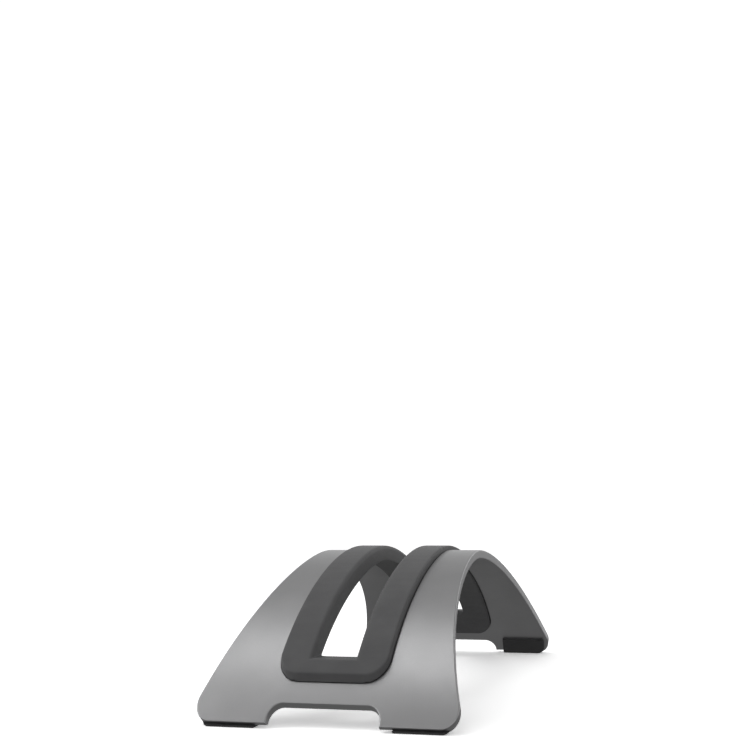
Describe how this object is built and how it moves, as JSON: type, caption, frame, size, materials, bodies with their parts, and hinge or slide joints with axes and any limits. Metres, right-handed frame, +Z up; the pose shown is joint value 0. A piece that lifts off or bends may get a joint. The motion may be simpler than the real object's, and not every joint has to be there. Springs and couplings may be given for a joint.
{
  "type": "laptop stand",
  "caption": "Arched metal desk stand that holds a closed laptop upright on its edge in a lift-out soft saddle, with cable cut-outs at both feet.",
  "frame": {"origin": "on the desk, under the middle of the arch", "axes": "+X across the stand, +Y along the arch and along the laptop's long edge, +Z up"},
  "size_m": [0.0902, 0.2236, 0.0555],
  "materials": {
    "arch_aluminium": "bead-blasted and anodised, satin grey",
    "saddle_silicone": "moulded silicone, matt charcoal",
    "foot_rubber": "moulded rubber, matt black",
    "adhesive_film": "double-sided acrylic tape, dark grey"
  },
  "bodies": {
    "arch": {"arch_body": "arch_aluminium", "rear_right_pad": "foot_rubber", "rear_left_pad": "foot_rubber", "front_right_pad": "foot_rubber", "front_left_pad": "foot_rubber", "rear_right_adhesive": "adhesive_film", "rear_left_adhesive": "adhesive_film", "front_right_adhesive": "adhesive_film", "front_left_adhesive": "adhesive_film"},
    "saddle": {"saddle": "saddle_silicone"}
  },
  "joints": [
    {"name": "saddle_lift", "type": "slide", "parent": "arch", "child": "saddle", "axis": [0, 0, 1], "range_m": [0, 0.05]}
  ]
}
